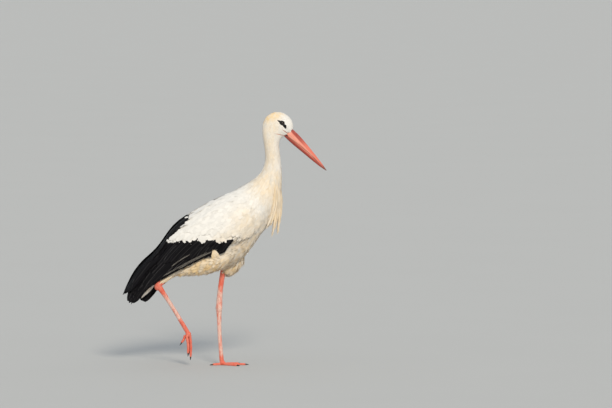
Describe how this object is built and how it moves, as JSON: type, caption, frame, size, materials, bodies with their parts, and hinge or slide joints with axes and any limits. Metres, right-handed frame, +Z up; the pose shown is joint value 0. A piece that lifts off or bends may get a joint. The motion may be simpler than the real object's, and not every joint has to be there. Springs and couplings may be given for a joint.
{
  "type": "white stork model",
  "caption": "Life-size white stork in mid-step, neck raised, long red bill pointing down and black-edged wings folded over the back.",
  "frame": {"origin": "on the ground, under the middle of the bird's bounding box", "axes": "+X the way the bird walks, +Y its left side, +Z up"},
  "size_m": [0.7464, 0.206, 0.9285],
  "materials": {
    "white_plumage": "matt white feathers, cream on crown, breast and belly",
    "flight_feathers": "black feathers with a faint blue-violet gloss and grey edges",
    "bill": "satin horn, coral red, dark at the tip",
    "leg_skin": "scaly bare skin, coral red washed with whitish pink",
    "claw": "dark horn",
    "eye": "wet, dark brown to black"
  },
  "bodies": {
    "root": {"head": "white_plumage", "neck_upper": "white_plumage", "neck_lower": "white_plumage", "trunk": "white_plumage", "breast_plumes": "white_plumage", "tail": "white_plumage", "bill_upper": "bill", "bill_lower": "bill", "eye_left": "eye", "wing_left_coverts": "white_plumage", "wing_left_tertials": "flight_feathers", "wing_left_secondaries": "flight_feathers", "wing_left_primaries": "flight_feathers", "leg_left_thigh": "white_plumage", "leg_left_shin": "leg_skin", "leg_left_ankle": "leg_skin", "leg_left_tarsus": "leg_skin", "foot_left_pad": "leg_skin", "toe_left_middle": "leg_skin", "claw_left_middle": "claw", "toe_left_outer": "leg_skin", "claw_left_outer": "claw", "toe_left_inner": "leg_skin", "claw_left_inner": "claw", "toe_left_hind": "leg_skin", "claw_left_hind": "claw", "eye_right": "eye", "wing_right_coverts": "white_plumage", "wing_right_tertials": "flight_feathers", "wing_right_secondaries": "flight_feathers", "wing_right_primaries": "flight_feathers", "leg_right_thigh": "white_plumage", "leg_right_shin": "leg_skin", "leg_right_ankle": "leg_skin", "leg_right_tarsus": "leg_skin", "foot_right_pad": "leg_skin", "toe_right_middle": "leg_skin", "claw_right_middle": "claw", "toe_right_outer": "leg_skin", "claw_right_outer": "claw", "toe_right_inner": "leg_skin", "claw_right_inner": "claw", "toe_right_hind": "leg_skin", "claw_right_hind": "claw"}
  },
  "joints": []
}
